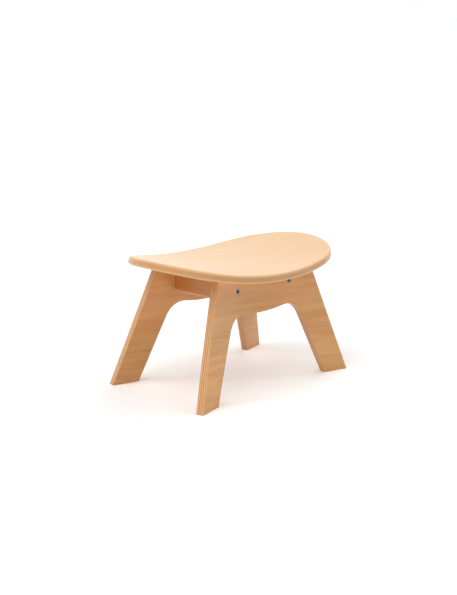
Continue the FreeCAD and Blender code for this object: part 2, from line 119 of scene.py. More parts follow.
def new_material(name: str) -> tuple[bpy.types.Material, bpy.types.NodeTree]:
    """Makes an empty node material.

    Args:
        name: The material's name.

    Returns:
        The material and its node tree.
    """
    material = bpy.data.materials.new(name)
    material.use_nodes = True
    material.node_tree.nodes.clear()
    return material, material.node_tree


def noise_scale(size: float) -> float:
    """Returns the scale that gives a noise's pattern a size in millimetres."""
    return 1 / MM / size


def between(span: Span) -> dict[str, float]:
    """Returns the inputs that let a MapRange node turn over a span of its value."""
    return {"From Min": span[0], "From Max": span[1]}


class Axis(Enum):
    """The three axes, by the place of their value in a vector."""

    X = 0
    Y = 1
    Z = 2


@dataclass(frozen=True)
class BeechTones:
    """The colours of one lot of beech.

    The planed or rotary cut face has a pale and a deep figure with darker flecks. A cut edge shows
    the core's long grain, its end grain and, in plywood, the glue lines. The pale tone on the
    rounded arrises is a painted highlight where they catch the light, and the dark tone at the
    seams is painted shade in the gap where a piece butts against another. The last three say how
    strongly the rays, the fibres and the slow drift of the tone show.
    """

    pale: str = "#e8ad6e"
    deep: str = "#de9f5d"
    fleck: str = "#b57a45"
    core: str = "#f3be86"
    end_grain: str = "#c38c59"
    glue_line: str = "#7a4520"
    # Painted highlight: a pale tone laid on the rounded edges, where they catch the light.
    arris: str = "#f8dcb8"
    # Painted shade: a dark tone laid where a piece butts against another, in place of the shade in
    # the gap.
    seam: str = "#5e3214"
    flecks: float = 0.3
    streaks: float = 0.055
    drift: float = 0.06


# The seat's pale and deep face tones are paler and less saturated than the legs' though it is the
# same beech: painted light for the bright light on the seat's top and the lacquer's sheen there.
# The rest are the tones of its cut edge.
SEAT_TONES_WITH_PAINTED_LIGHT = BeechTones(
    pale="#eac394", deep="#e7be8c", fleck="#cf9f70",
    core="#e0aa70", end_grain="#d2965a", glue_line="#b57a43",
    flecks=0.18, streaks=0.04, drift=0.015,
)
RAIL_TONES = BeechTones(pale="#d48d48", deep="#cb8240", core="#d48d48", end_grain="#b06c36")


@dataclass(frozen=True)
class Lacquer:
    """Clear satin lacquer: a thin smooth film that turns pale where the light grazes it. The
    fibres under it make it a little smoother or rougher."""

    roughness: float = 0.42
    specular: float = 0.2
    coat: float = 0.6
    coat_roughness: float = 0.22
    ior: float = 1.5
    fibre_gloss: Span = (-0.04, 0.05)


@dataclass(frozen=True)
class WoodGrain:
    """The pattern of beech, sizes in millimetres across the grain, and how far each runs along it.

    The rays of real beech are 0.1 to 0.3 mm wide: they are drawn more than twice that, or they
    would not show at all. A span is the part of a noise's range over which its pattern turns from
    one tone to the other.
    """

    figure: float = 16.0
    figure_run: float = 16.0
    fibre: float = 0.9
    fibre_run: float = 45.0
    ray: float = 0.75
    ray_run: float = 5.0
    drift: float = 55.0
    figure_span: Span = (0.36, 0.66)
    fibre_span: Span = (0.3, 0.7)
    ray_span: Span = (0.62, 0.74)
    drift_span: Span = (0.35, 0.65)
    wander: float = 0.6
    mean_shade: float = 0.99
    pore_depth: float = 0.05

    def runs(self) -> dict[str, float]:
        """Returns how many times longer than wide the figure, the fibres and the rays are."""
        return {"figure": self.figure_run, "fibre": self.fibre_run, "ray": self.ray_run}


GRAIN = WoodGrain()


@dataclass(frozen=True)
class Marks:
    """Where a wooden surface shows more than its face, 0 to 1 each, or None where it never does.

    They are the cut through a sheet's plies, its glue lines, the painted highlight on the rounded
    arrises and the painted shade in the seams against other pieces.
    """

    arris: bpy.types.NodeSocket
    cut: bpy.types.NodeSocket | None = None
    glue: bpy.types.NodeSocket | None = None
    seam: bpy.types.NodeSocket | None = None


def wood_surface(
    tree: bpy.types.NodeTree,
    tones: BeechTones,
    lacquer: Lacquer,
    along: dict[str, bpy.types.NodeSocket],
    end_on: bpy.types.NodeSocket,
    marks: Marks,
) -> bpy.types.Node:
    """Builds lacquered beech from coordinates that are already stretched along its grain.

    Args:
        tree: The material's node tree.
        tones: The wood's colours.
        lacquer: The film over it.
        along: A coordinate for the figure, the fibres and the rays, each stretched as it runs.
        end_on: How much the surface cuts the grain across, 0 to 1.
        marks: Where the surface shows more than its face.

    Returns:
        The surface shader.
    """
    figure = add_node(tree, "ShaderNodeTexNoise", {
        "Vector": along["figure"], "Scale": noise_scale(GRAIN.figure), "Detail": 3.0,
        "Roughness": 0.55, "Distortion": GRAIN.wander,
    })
    fibre = add_node(tree, "ShaderNodeTexNoise", {
        "Vector": along["fibre"], "Scale": noise_scale(GRAIN.fibre), "Detail": 2.0,
        "Roughness": 0.6,
    })
    rays = add_node(tree, "ShaderNodeTexNoise", {
        "Vector": along["ray"], "Scale": noise_scale(GRAIN.ray), "Detail": 0.0,
    })
    bands = add_node(tree, "ShaderNodeMapRange", {
        "Value": figure.outputs["Fac"], **between(GRAIN.figure_span),
    }, interpolation_type="SMOOTHSTEP")
    ground = add_node(tree, "ShaderNodeMix", {
        "Factor": bands.outputs["Result"], 6: to_linear(tones.pale), 7: to_linear(tones.deep),
    }, data_type="RGBA")
    streak = add_node(tree, "ShaderNodeMapRange", {
        "Value": fibre.outputs["Fac"], **between(GRAIN.fibre_span),
        "To Min": GRAIN.mean_shade - tones.streaks, "To Max": GRAIN.mean_shade + tones.streaks,
    })
    clouds = add_node(tree, "ShaderNodeTexNoise", {
        "Vector": along["ray"], "Scale": noise_scale(GRAIN.drift), "Detail": 1.0,
    })
    drift = add_node(tree, "ShaderNodeMapRange", {
        "Value": clouds.outputs["Fac"], **between(GRAIN.drift_span),
        "To Min": 1.0 - tones.drift, "To Max": 1.0 + tones.drift,
    })
    shade = add_node(tree, "ShaderNodeMath", {
        0: streak.outputs["Result"], 1: drift.outputs["Result"],
    }, operation="MULTIPLY")
    streaked = add_node(tree, "ShaderNodeVectorMath", {
        0: ground.outputs[2], "Scale": shade.outputs[0],
    }, operation="SCALE")
    ray_mask = add_node(tree, "ShaderNodeMapRange", {
        "Value": rays.outputs["Fac"], **between(GRAIN.ray_span), "To Max": tones.flecks,
    })
    colour = add_node(tree, "ShaderNodeMix", {
        "Factor": ray_mask.outputs["Result"], 6: streaked.outputs[0], 7: to_linear(tones.fleck),
    }, data_type="RGBA")
    # Laid over the face in turn: the cut plies, the end grain, the glue lines, a painted highlight
    # on the arrises and painted shade in the seams.
    for share, tone in (
        (marks.cut, tones.core), (end_on, tones.end_grain), (marks.glue, tones.glue_line),
        (marks.arris, tones.arris), (marks.seam, tones.seam),
    ):
        if share is not None:
            colour = add_node(tree, "ShaderNodeMix", {
                "Factor": share, 6: colour.outputs[2], 7: to_linear(tone),
            }, data_type="RGBA")
    sheen = add_node(tree, "ShaderNodeMapRange", {
        "Value": fibre.outputs["Fac"], **between(GRAIN.fibre_span),
        "To Min": lacquer.roughness + lacquer.fibre_gloss[0],
        "To Max": lacquer.roughness + lacquer.fibre_gloss[1],
    })
    pores = add_node(tree, "ShaderNodeMath", {
        0: fibre.outputs["Fac"], 1: ray_mask.outputs["Result"],
    }, operation="SUBTRACT")
    relief = add_node(tree, "ShaderNodeBump", {
        "Height": pores.outputs[0], "Strength": 0.25, "Distance": GRAIN.pore_depth * MM,
    })
    return add_node(tree, "ShaderNodeBsdfPrincipled", {
        "Base Color": colour.outputs[2],
        "Roughness": sheen.outputs["Result"],
        "IOR": lacquer.ior,
        "Specular IOR Level": lacquer.specular,
        "Normal": relief.outputs["Normal"],
        "Coat Weight": lacquer.coat,
        "Coat Roughness": lacquer.coat_roughness,
        "Coat IOR": lacquer.ior,
    })


def arris_highlight_share(
    tree: bpy.types.NodeTree, normal: bpy.types.NodeSocket, face: Triple | bpy.types.NodeSocket
) -> bpy.types.NodeSocket:
    """Tells where a surface turns between a face and an edge, which gets the painted highlight of
    the rounded arrises.

    Args:
        tree: The material's node tree.
        normal: The surface's normal.
        face: The direction that the face looks in, a constant or a socket.

    Returns:
        A socket that is 0 on the face and on the edge, and rises to the greatest highlight share
        between.
    """
    facing = add_node(tree, "ShaderNodeVectorMath", {0: normal, 1: face}, operation="DOT_PRODUCT")
    level = add_node(tree, "ShaderNodeMath", {0: facing.outputs["Value"]}, operation="ABSOLUTE")
    square = add_node(tree, "ShaderNodeMath", {
        0: level.outputs[0], 1: level.outputs[0],
    }, operation="MULTIPLY")
    rest = add_node(tree, "ShaderNodeMath", {0: 1.0, 1: square.outputs[0]}, operation="SUBTRACT")
    swell = add_node(tree, "ShaderNodeMath", {
        0: level.outputs[0], 1: rest.outputs[0],
    }, operation="MULTIPLY")
    # The swell is c - c^3 for the cosine c, which is greatest, 2 / sqrt(27), at c = 1 / sqrt(3).
    peak = 2 / math.sqrt(27)
    return add_node(tree, "ShaderNodeMath", {
        0: swell.outputs[0], 1: ARRIS_HIGHLIGHT_SHARE / peak,
    }, operation="MULTIPLY").outputs[0]


def end_grain_share(
    tree: bpy.types.NodeTree, direction: Triple | bpy.types.NodeSocket
) -> bpy.types.NodeSocket:
    """Tells how squarely the surface cuts the grain across.

    Args:
        tree: The material's node tree.
        direction: The grain's direction, a constant or a socket.

    Returns:
        A socket that is 0 where the surface runs along the grain and 1 where it cuts it square.
    """
    normal = add_node(tree, "ShaderNodeNewGeometry").outputs["Normal"]
    facing = add_node(tree, "ShaderNodeVectorMath", {
        0: normal, 1: direction,
    }, operation="DOT_PRODUCT")
    return add_node(tree, "ShaderNodeMath", {
        0: facing.outputs["Value"], 1: facing.outputs["Value"],
    }, operation="MULTIPLY").outputs[0]


@dataclass(frozen=True)
class BeechPlywood:
    """Moulded beech plywood: plies of cut veneer whose grain turns by a right angle from one to the
    next, so that a sawn edge shows pale long-grain and darker end-grain stripes.

    The sheet's frame has its origin and Z on the axis of the bend, and its Y towards the sheet. The
    slant is how many degrees the face's grain runs off the line round that axis. The skin is the
    depth below either face that still shows the face itself, glue_half is half a glue line's width,
    drawn coarser than real to show, and ply_shift sets each ply's pattern apart from the last.
    """

    name: str
    bend: float
    ply: float
    axis_point: Triple
    turned: Triple
    grain_across: Triple
    slant: float = 0.0
    layers: int = 7
    skin: float = 0.2 * MM
    glue_half: float = 0.16 * MM
    glue_fade: float = 1.6
    glue_share: float = 0.7
    ply_shift: float = 0.731
    tones: BeechTones = BeechTones()
    lacquer: Lacquer = Lacquer()

    def _rotation(self) -> Triple:
        """Returns the turn of the sheet's frame in radians."""
        return tuple(math.radians(angle) for angle in self.turned)

    def in_sheet(
        self, tree: bpy.types.NodeTree
    ) -> tuple[bpy.types.Node, bpy.types.Node, bpy.types.Node]:
        """Finds where a point lies in the sheet.

        Args:
            tree: The node tree of any material of the stool.

        Returns:
            The point in the sheet's frame split into X, Y and Z, its way out from the axis of the
            bend, and its depth below the sheet's hollow face.
        """
        place = add_node(tree, "ShaderNodeTexCoord").outputs["Object"]
        local = add_node(tree, "ShaderNodeMapping", {
            "Vector": place, "Location": self.axis_point, "Rotation": self._rotation(),
        }, vector_type="TEXTURE")
        parts = add_node(tree, "ShaderNodeSeparateXYZ", {0: local.outputs[0]})
        flat = add_node(tree, "ShaderNodeCombineXYZ", {0: parts.outputs[0], 1: parts.outputs[1]})
        reach = add_node(tree, "ShaderNodeVectorMath", {0: flat.outputs[0]}, operation="LENGTH")
        depth = add_node(tree, "ShaderNodeMath", {
            0: reach.outputs["Value"], 1: self.bend,
        }, operation="SUBTRACT")
        return parts, flat, depth

    def make(self) -> bpy.types.Material:
        """Builds the material.

        Returns:
            The material, with its pattern laid out along the bent sheet.
        """
        material, tree = new_material(self.name)
        parts, flat, raw = self.in_sheet(tree)
        x, y, z = (parts.outputs[i] for i in range(3))
        angle = add_node(tree, "ShaderNodeMath", {0: x, 1: y}, operation="ARCTAN2")
        level = add_node(tree, "ShaderNodeMath", {
            0: angle.outputs[0], 1: self.bend,
        }, operation="MULTIPLY")
        flattened = add_node(tree, "ShaderNodeCombineXYZ", {0: level.outputs[0], 1: z})
        on_grain = add_node(tree, "ShaderNodeMapping", {
            "Vector": flattened.outputs[0], "Rotation": (0.0, 0.0, math.radians(self.slant)),
        }, vector_type="TEXTURE")
        arc, rise = add_node(tree, "ShaderNodeSeparateXYZ", {0: on_grain.outputs[0]}).outputs[:2]
        depth = add_node(tree, "ShaderNodeClamp", {
            "Value": raw.outputs[0], "Min": self.skin, "Max": self.ply - self.skin,
        })
        in_plies = add_node(tree, "ShaderNodeMath", {
            0: depth.outputs[0], 1: self.layers / self.ply,
        }, operation="MULTIPLY")
        layer = add_node(tree, "ShaderNodeMath", {0: in_plies.outputs[0]}, operation="FLOOR")
        crossed = add_node(tree, "ShaderNodeMath", {
            0: layer.outputs[0], 1: 2.0,
        }, operation="MODULO")
        own_part = add_node(tree, "ShaderNodeMath", {
            0: layer.outputs[0], 1: self.ply_shift, 2: depth.outputs[0],
        }, operation="MULTIPLY_ADD")

        along = {}
        for key, run in GRAIN.runs().items():
            short_arc = add_node(tree, "ShaderNodeMath", {0: arc, 1: run}, operation="DIVIDE")
            short_rise = add_node(tree, "ShaderNodeMath", {0: rise, 1: run}, operation="DIVIDE")
            straight = add_node(tree, "ShaderNodeCombineXYZ", {
                0: short_arc.outputs[0], 1: rise, 2: own_part.outputs[0],
            })
            cross = add_node(tree, "ShaderNodeCombineXYZ", {
                0: arc, 1: short_rise.outputs[0], 2: own_part.outputs[0],
            })
            along[key] = add_node(tree, "ShaderNodeMix", {
                "Factor": crossed.outputs[0], 4: straight.outputs[0], 5: cross.outputs[0],
            }, data_type="VECTOR").outputs[1]

        grain = add_node(tree, "ShaderNodeMix", {
            "Factor": crossed.outputs[0], 4: (1.0, 0.0, 0.0), 5: self.grain_across,
        }, data_type="VECTOR")
        end_on = end_grain_share(tree, grain.outputs[1])

        half_line = self.glue_half * self.layers / self.ply
        into_ply = add_node(tree, "ShaderNodeMath", {0: in_plies.outputs[0]}, operation="FRACT")
        from_core = add_node(tree, "ShaderNodeMath", {
            0: into_ply.outputs[0], 1: 0.5,
        }, operation="SUBTRACT")
        off_core = add_node(tree, "ShaderNodeMath", {0: from_core.outputs[0]}, operation="ABSOLUTE")
        glue = add_node(tree, "ShaderNodeMapRange", {
            "Value": off_core.outputs[0],
            "From Min": 0.5 - self.glue_fade * half_line, "From Max": 0.5 - half_line,
            "To Max": self.glue_share,
        })
        # 1 from the middle of one outer ply to the middle of the other, so no glue shows on a face.
        inside = add_node(tree, "ShaderNodeMath", {
            0: in_plies.outputs[0], 1: self.layers / 2, 2: self.layers / 2 - 0.5,
        }, operation="COMPARE")
        inner_glue = add_node(tree, "ShaderNodeMath", {
            0: glue.outputs["Result"], 1: inside.outputs[0],
        }, operation="MULTIPLY")
        to_middle = add_node(tree, "ShaderNodeMath", {
            0: raw.outputs[0], 1: self.ply / 2,
        }, operation="SUBTRACT")
        off_middle = add_node(tree, "ShaderNodeMath", {
            0: to_middle.outputs[0],
        }, operation="ABSOLUTE")
        cut = add_node(tree, "ShaderNodeMapRange", {
            "Value": off_middle.outputs[0],
            "From Min": self.ply / 2 - self.ply / self.layers,
            "From Max": self.ply / 2 - self.skin,
            "To Min": 1.0, "To Max": 0.0,
        })
        outward = add_node(tree, "ShaderNodeVectorMath", {
            0: flat.outputs[0],
        }, operation="NORMALIZE")
        normal = add_node(tree, "ShaderNodeMapping", {
            "Vector": add_node(tree, "ShaderNodeNewGeometry").outputs["Normal"],
            "Rotation": self._rotation(),
        }, vector_type="TEXTURE")
        marks = Marks(
            arris=arris_highlight_share(tree, normal.outputs[0], outward.outputs[0]),
            cut=cut.outputs["Result"],
            glue=inner_glue.outputs[0],
        )
        shader = wood_surface(tree, self.tones, self.lacquer, along, end_on, marks)
        add_node(tree, "ShaderNodeOutputMaterial", {"Surface": shader.outputs[0]})
        return material


@dataclass(frozen=True)
class SolidBeech:
    """Planed solid beech with its grain along one axis: fine streaks along, darker at the ends, and
    painted shade, a dark line, where it butts against a sheet's inner face."""

    name: str
    grain: Axis
    butts: tuple[BeechPlywood, ...] = ()
    seam_width: float = 0.9 * MM
    seam_core: float = 0.35
    seam_share: float = 0.8
    tones: BeechTones = BeechTones()
    lacquer: Lacquer = Lacquer()

    def make(self) -> bpy.types.Material:
        """Builds the material.

        Returns:
            The material, with its pattern laid out along the grain's axis.
        """
        material, tree = new_material(self.name)
        place = add_node(tree, "ShaderNodeTexCoord").outputs["Object"]
        along = {}
        for key, run in GRAIN.runs().items():
            shrink = [1.0, 1.0, 1.0]
            shrink[self.grain.value] = 1 / run
            along[key] = add_node(tree, "ShaderNodeVectorMath", {
                0: place, 1: tuple(shrink),
            }, operation="MULTIPLY").outputs[0]
        direction = tuple(1.0 if axis is self.grain else 0.0 for axis in Axis)
        end_on = end_grain_share(tree, direction)
        normal = add_node(tree, "ShaderNodeNewGeometry").outputs["Normal"]
        across = (direction[2], direction[0], direction[1])
        marks = Marks(arris=arris_highlight_share(tree, normal, across), seam=self._seam(tree))
        shader = wood_surface(tree, self.tones, self.lacquer, along, end_on, marks)
        add_node(tree, "ShaderNodeOutputMaterial", {"Surface": shader.outputs[0]})
        return material

    def _seam(self, tree: bpy.types.NodeTree) -> bpy.types.NodeSocket | None:
        """Tells where the wood comes close to a sheet that it butts against, for the painted shade
        in the gap.

        Args:
            tree: The material's node tree.

        Returns:
            A socket that rises to 1 where the painted shade of the gap lies, or None without a
            sheet.
        """
        nearest = None
        for sheet in self.butts:
            _, _, depth = sheet.in_sheet(tree)
            past = add_node(tree, "ShaderNodeMath", {
                0: depth.outputs[0], 1: sheet.ply,
            }, operation="SUBTRACT").outputs[0]
            nearest = past if nearest is None else add_node(tree, "ShaderNodeMath", {
                0: nearest, 1: past,
            }, operation="MINIMUM").outputs[0]
        if nearest is None:
            return None
        return add_node(tree, "ShaderNodeMapRange", {
            "Value": nearest,
            "From Min": self.seam_core * self.seam_width, "From Max": self.seam_width,
            "To Min": self.seam_share, "To Max": 0.0,
        }).outputs["Result"]


@dataclass(frozen=True)
class DullNickelSteel:
    """Steel with a thin dull nickel plate: warm grey, with soft cloudy highlights. Its clouds are
    1.5 mm wide and make it a little smoother or rougher."""

    name: str
    colour: str = "#8c8170"
    roughness: float = 0.34
    cloud: float = 1.5
    cloud_span: Span = (0.3, 0.7)
    cloud_gloss: Span = (-0.08, 0.1)

    def make(self) -> bpy.types.Material:
        """Builds the material.

        Returns:
            The material.
        """
        material, tree = new_material(self.name)
        place = add_node(tree, "ShaderNodeTexCoord").outputs["Object"]
        clouds = add_node(tree, "ShaderNodeTexNoise", {
            "Vector": place, "Scale": noise_scale(self.cloud), "Detail": 3.0,
        })
        gloss = add_node(tree, "ShaderNodeMapRange", {
            "Value": clouds.outputs["Fac"], **between(self.cloud_span),
            "To Min": self.roughness + self.cloud_gloss[0],
            "To Max": self.roughness + self.cloud_gloss[1],
        })
        shader = add_node(tree, "ShaderNodeBsdfPrincipled", {
            "Base Color": to_linear(self.colour),
            "Metallic": 1.0,
            "Roughness": gloss.outputs["Result"],
        })
        add_node(tree, "ShaderNodeOutputMaterial", {"Surface": shader.outputs[0]})
        return material


def turned_piece(
    name: str, profile: list[tuple[float, float]], segments: int = 64
) -> bpy.types.Object:
    """Models a closed round piece about Z by extruding a disc from ring to ring.

    Args:
        name: The piece's name.
        profile: Radius and height of each ring in millimetres, from one flat end to the other.
        segments: How many sides a ring has.

    Returns:
        The piece.
    """
    (radius, height), *rings = profile
    bpy.ops.object.select_all(action="DESELECT")
    bpy.ops.mesh.primitive_circle_add(
        vertices=segments, radius=radius * MM, fill_type="NGON", location=(0, 0, height * MM)
    )
    piece = bpy.context.object
    piece.name = name
    bpy.ops.object.transform_apply(location=True)
    bpy.ops.object.mode_set(mode="EDIT")
    bpy.ops.mesh.select_mode(type="FACE")
    bpy.ops.mesh.select_all(action="SELECT")
    for next_radius, next_height in rings:
        rise = (0, 0, (next_height - height) * MM)
        bpy.ops.mesh.extrude_region_move(TRANSFORM_OT_translate={"value": rise})
        share = next_radius / radius
        bpy.ops.transform.resize(
            value=(share, share, 1), center_override=(0, 0, next_height * MM)
        )
        radius, height = next_radius, next_height
    bpy.ops.mesh.select_all(action="SELECT")
    bpy.ops.mesh.normals_make_consistent(inside=False)
    bpy.ops.object.mode_set(mode="OBJECT")
    return piece


def pick(piece: bpy.types.Object, *others: bpy.types.Object) -> None:
    """Selects pieces and nothing else.

    Args:
        piece: The piece that becomes the active one.
        *others: Further pieces to select.
    """
    bpy.ops.object.select_all(action="DESELECT")
    for chosen in (piece, *others):
        chosen.select_set(True)
    bpy.context.view_layer.objects.active = piece


def turn_over(piece: bpy.types.Object) -> None:
    """Turns a piece at the origin over about X, mesh and all.

    Args:
        piece: The piece.
    """
    pick(piece)
    piece.rotation_euler = (math.radians(180), 0, 0)
    bpy.ops.object.transform_apply(rotation=True)


def carve(piece: bpy.types.Object, cutter: bpy.types.Object) -> None:
    """Cuts one closed piece out of another and drops the cutter.

    Args:
        piece: The piece that is cut.
        cutter: What is taken away.
    """
    pick(piece)
    bpy.ops.object.modifier_add(type="BOOLEAN")
    cut = piece.modifiers[-1]
    cut.object = cutter
    cut.operation = "DIFFERENCE"
    bpy.ops.object.modifier_apply(modifier=cut.name)
    bpy.data.objects.remove(cutter)


def carve_hexagon(piece: bpy.types.Object, flats: float, top: float, depth: float) -> None:
    """Cuts a hexagon socket with a drilled bottom and an eased mouth down into a piece.

    Args:
        piece: The piece that is cut.
        flats: Width across flats in millimetres.
        top: Height of the socket's mouth in millimetres.
        depth: Depth of the flats in millimetres.
    """
    corner, ease = flats / math.sqrt(3), SOCKET_EASE
    above, bottom, drill_point, drill_rise = 1.0, top - depth, 0.05, 0.3 * flats
    prism = turned_piece("hexagon", [
        (corner, top + above), (corner, bottom), (drill_point, bottom - drill_rise),
    ], segments=6)
    carve(piece, prism)
    mouth = turned_piece("mouth", [
        (corner + ease, top + above), (corner + ease, top), (corner - ease, top - 2 * ease),
    ], segments=48)
    carve(piece, mouth)


def thread_ridge(
    core: float, crest: float, base: float, pitch: float, low: float, turns: int
) -> bpy.types.Object:
    """Models a right-hand thread as a closed ridge that winds up round a core.

    Args:
        core: Radius of the core in millimetres.
        crest: Radius of the ridge's crest in millimetres.
        base: Width of the ridge's foot in millimetres.
        pitch: Rise of one turn in millimetres.
        low: Height at which the ridge starts in millimetres.
        turns: How often it winds round.

    Returns:
        The ridge.
    """
    overlap, crest_share, steps = 0.1, 0.15, 32
    root = core - overlap
    middle = (root + crest) / 2
    bpy.ops.object.select_all(action="DESELECT")
    bpy.ops.mesh.primitive_plane_add(
        size=1, location=(middle * MM, 0, low * MM), rotation=(math.radians(90), 0, 0)
    )
    ridge = bpy.context.object
    ridge.scale = ((crest - root) * MM, base * MM, 1)
    bpy.ops.object.transform_apply(location=True, rotation=True, scale=True)
    bpy.ops.object.mode_set(mode="EDIT")
    bpy.ops.mesh.select_all(action="DESELECT")
    bpy.ops.object.mode_set(mode="OBJECT")
    for vertex in ridge.data.vertices:
        vertex.select = vertex.co.x > middle * MM
    bpy.ops.object.mode_set(mode="EDIT")
    bpy.ops.transform.resize(
        value=(1, 1, crest_share), center_override=(crest * MM, 0, low * MM)
    )
    bpy.ops.mesh.select_all(action="SELECT")
    bpy.ops.mesh.delete(type="ONLY_FACE")
    bpy.ops.object.mode_set(mode="OBJECT")
    bpy.ops.object.modifier_add(type="SCREW")
    winding = ridge.modifiers[-1]
    winding.screw_offset = pitch * MM
    winding.iterations = turns
    winding.steps = winding.render_steps = steps
    bpy.ops.object.modifier_apply(modifier=winding.name)
    bpy.ops.object.mode_set(mode="EDIT")
    bpy.ops.mesh.select_all(action="SELECT")
    bpy.ops.mesh.fill_holes(sides=0)
    bpy.ops.mesh.normals_make_consistent(inside=False)
    bpy.ops.object.mode_set(mode="OBJECT")
    return ridge


def join(piece: bpy.types.Object, part: bpy.types.Object) -> None:
    """Makes a part one object with a piece.

    Args:
        piece: The piece that stays.
        part: The part that goes into it.
    """
    pick(piece, part)
    bpy.ops.object.join()


def smooth(piece: bpy.types.Object, angle: float = 35.0) -> None:
    """Shades a piece smooth but for its sharp edges.

    Args:
        piece: The piece.
        angle: From how many degrees an edge stays sharp.
    """
    pick(piece)
    bpy.ops.object.shade_smooth_by_angle(angle=math.radians(angle))


@dataclass(frozen=True)
class Bolt:
    """A countersunk machine bolt with a hexagon socket, sizes in millimetres.

    Z points out of the head, and the origin lies in the panel's face, a little above the head. The
    thread's depth and the width of its ridge's foot are shares of the pitch.
    """

    thread: float = 6.0
    length: float = 50.0
    head: float = 12.0
    sink: float = 0.3
    rim: float = 0.4
    tip: float = 0.75
    socket: float = 4.0
    socket_depth: float = 2.5
    pitch: float = 1.0
    threaded: int = 24
    thread_depth: float = 0.61
    ridge_foot: float = 0.85
    run_out: float = 0.5
    ridge_start: float = 1.2
    edge: float = 0.12

    def build(self) -> bpy.types.Object:
        """Models the bolt.

        Returns:
            The bolt, about Z.
        """
        shank, head, edge = self.thread / 2, self.head / 2, self.edge
        core = shank - self.thread_depth * self.pitch
        seat = -self.sink - self.rim
        thread_top = -self.length + self.threaded * self.pitch
        bolt = turned_piece("bolt", [
            (head - edge, -self.sink), (head, -self.sink - edge), (head, seat),
            (shank, seat - (head - shank)), (shank, thread_top + self.run_out),
            (core, thread_top),
            (core, -self.length + self.tip), (core - self.tip, -self.length),
        ])
        carve_hexagon(bolt, self.socket, -self.sink, self.socket_depth)
        ridge = thread_ridge(
            core, shank, self.ridge_foot * self.pitch, self.pitch,
            -self.length + self.ridge_start, self.threaded - 2,
        )
        join(bolt, ridge)
        smooth(bolt)
        return bolt


@dataclass(frozen=True)
class BarrelNut:
    """A round cross nut, sizes in millimetres: Z along the barrel, the bolt's hole along X."""

    diameter: float = 10.0
    length: float = 12.0
    hole: float = 6.2
    slot_width: float = 1.2
    slot_depth: float = 1.0
    chamfer: float = 0.4
    countersink: float = 0.8

    def build(self) -> bpy.types.Object:
        """Models the nut.

        Returns:
            The nut, about Z.
        """
        radius, half, ease = self.diameter / 2, self.length / 2, self.chamfer
        nut = turned_piece("barrel_nut", [
            (radius - ease, -half), (radius, -half + ease),
            (radius, half - ease), (radius - ease, half),
        ])
        clear, sink = 0.2, self.countersink
        bore, past = self.hole / 2, radius + clear
        drill = turned_piece("drill", [
            (bore + sink, -past), (bore, -past + sink), (bore, past - sink), (bore + sink, past),
        ], segments=48)
        drill.rotation_euler = (0, math.radians(90), 0)
        carve(nut, drill)
        bpy.ops.mesh.primitive_cube_add(size=1, location=(0, 0, half * MM))
        saw = bpy.context.object
        saw.scale = (self.length * MM, self.slot_width * MM, 2 * self.slot_depth * MM)
        carve(nut, saw)
        smooth(nut)
        return nut


@dataclass(frozen=True)
class FlutedDowel:
    """A fluted wooden dowel with eased ends, sizes in millimetres, from its origin down Z."""

    diameter: float = 8.0
    length: float = 28.0
    chamfer: float = 1.0
    flutes: int = 24
    flute_share: float = 0.93
    sharp_from: float = 25.0

    def build(self) -> bpy.types.Object:
        """Models the dowel: every fourth line of the rod is sunk to make the flutes.

        Returns:
            The dowel, about Z.
        """
        lines_apart = 4
        lines = lines_apart * self.flutes
        radius, end = self.diameter / 2, self.diameter / 2 - self.chamfer
        dowel = turned_piece("fluted_dowel", [
            (end, 0), (radius, -self.chamfer),
            (radius, -self.length + self.chamfer), (end, -self.length),
        ], segments=lines)
        bpy.ops.object.mode_set(mode="EDIT")
        bpy.ops.mesh.select_mode(type="VERT")
        bpy.ops.mesh.select_all(action="DESELECT")
        bpy.ops.object.mode_set(mode="OBJECT")
        for vertex in dowel.data.vertices:
            line = round(math.atan2(vertex.co.y, vertex.co.x) / math.tau * lines)
            on_barrel = vertex.co.xy.length > (end + radius) / 2 * MM
            vertex.select = line % lines_apart == 0 and on_barrel
        bpy.ops.object.mode_set(mode="EDIT")
        middle = (0, 0, -self.length / 2 * MM)
        bpy.ops.transform.resize(
            value=(self.flute_share, self.flute_share, 1), center_override=middle
        )
        bpy.ops.object.mode_set(mode="OBJECT")
        smooth(dowel, self.sharp_from)
        return dowel


@dataclass(frozen=True)
class WoodScrew:
    """A countersunk wood screw with a hexagon socket, sizes in millimetres.

    Its point is at the origin and its head down Z. Its ridge's foot is a share of the pitch.
    """

    thread: float = 4.5
    head: float = 9.0
    length: float = 40.0
    point: float = 4.0
    drive: float = 3.0
    drive_depth: float = 2.0
    core: float = 3.0
    shank: float = 3.4
    pitch: float = 2.0
    threaded: int = 11
    ridge_foot: float = 0.4
    run_out: float = 0.3
    edge: float = 0.15
    tip: float = 0.05

    def build(self) -> bpy.types.Object:
        """Models the screw.

        Returns:
            The screw, about Z.
        """
        head, core, shank, edge = self.head / 2, self.core / 2, self.shank / 2, self.edge
        thread_end = -self.point - self.threaded * self.pitch
        screw = turned_piece("wood_screw", [
            (self.tip, 0), (core, -self.point), (core, thread_end),
            (shank, thread_end - self.run_out), (shank, -self.length + head - shank),
            (head - edge, -self.length + edge), (head - edge, -self.length),
        ])
        turn_over(screw)
        carve_hexagon(screw, self.drive, self.length, self.drive_depth)
        turn_over(screw)
        ridge = thread_ridge(
            core, self.thread / 2, self.ridge_foot * self.pitch, self.pitch,
            thread_end + self.pitch / 2, self.threaded - 1,
        )
        join(screw, ridge)
        smooth(screw)
        return screw


class Fastener(Enum):
    """The kinds of fastener, by the ending of their nodes' names."""

    BOLT = "bolt"
    BARREL_NUT = "barrel_nut"
    DOWEL = "dowel"
    SEAT_SCREW = "seat_screw"


class End(Enum):
    """The stool's two long sides, with the sign of Y there."""

    FRONT = -1
    REAR = 1


class Side(Enum):
    """The stool's left and right, with the sign of X there."""

    LEFT = -1
    RIGHT = 1


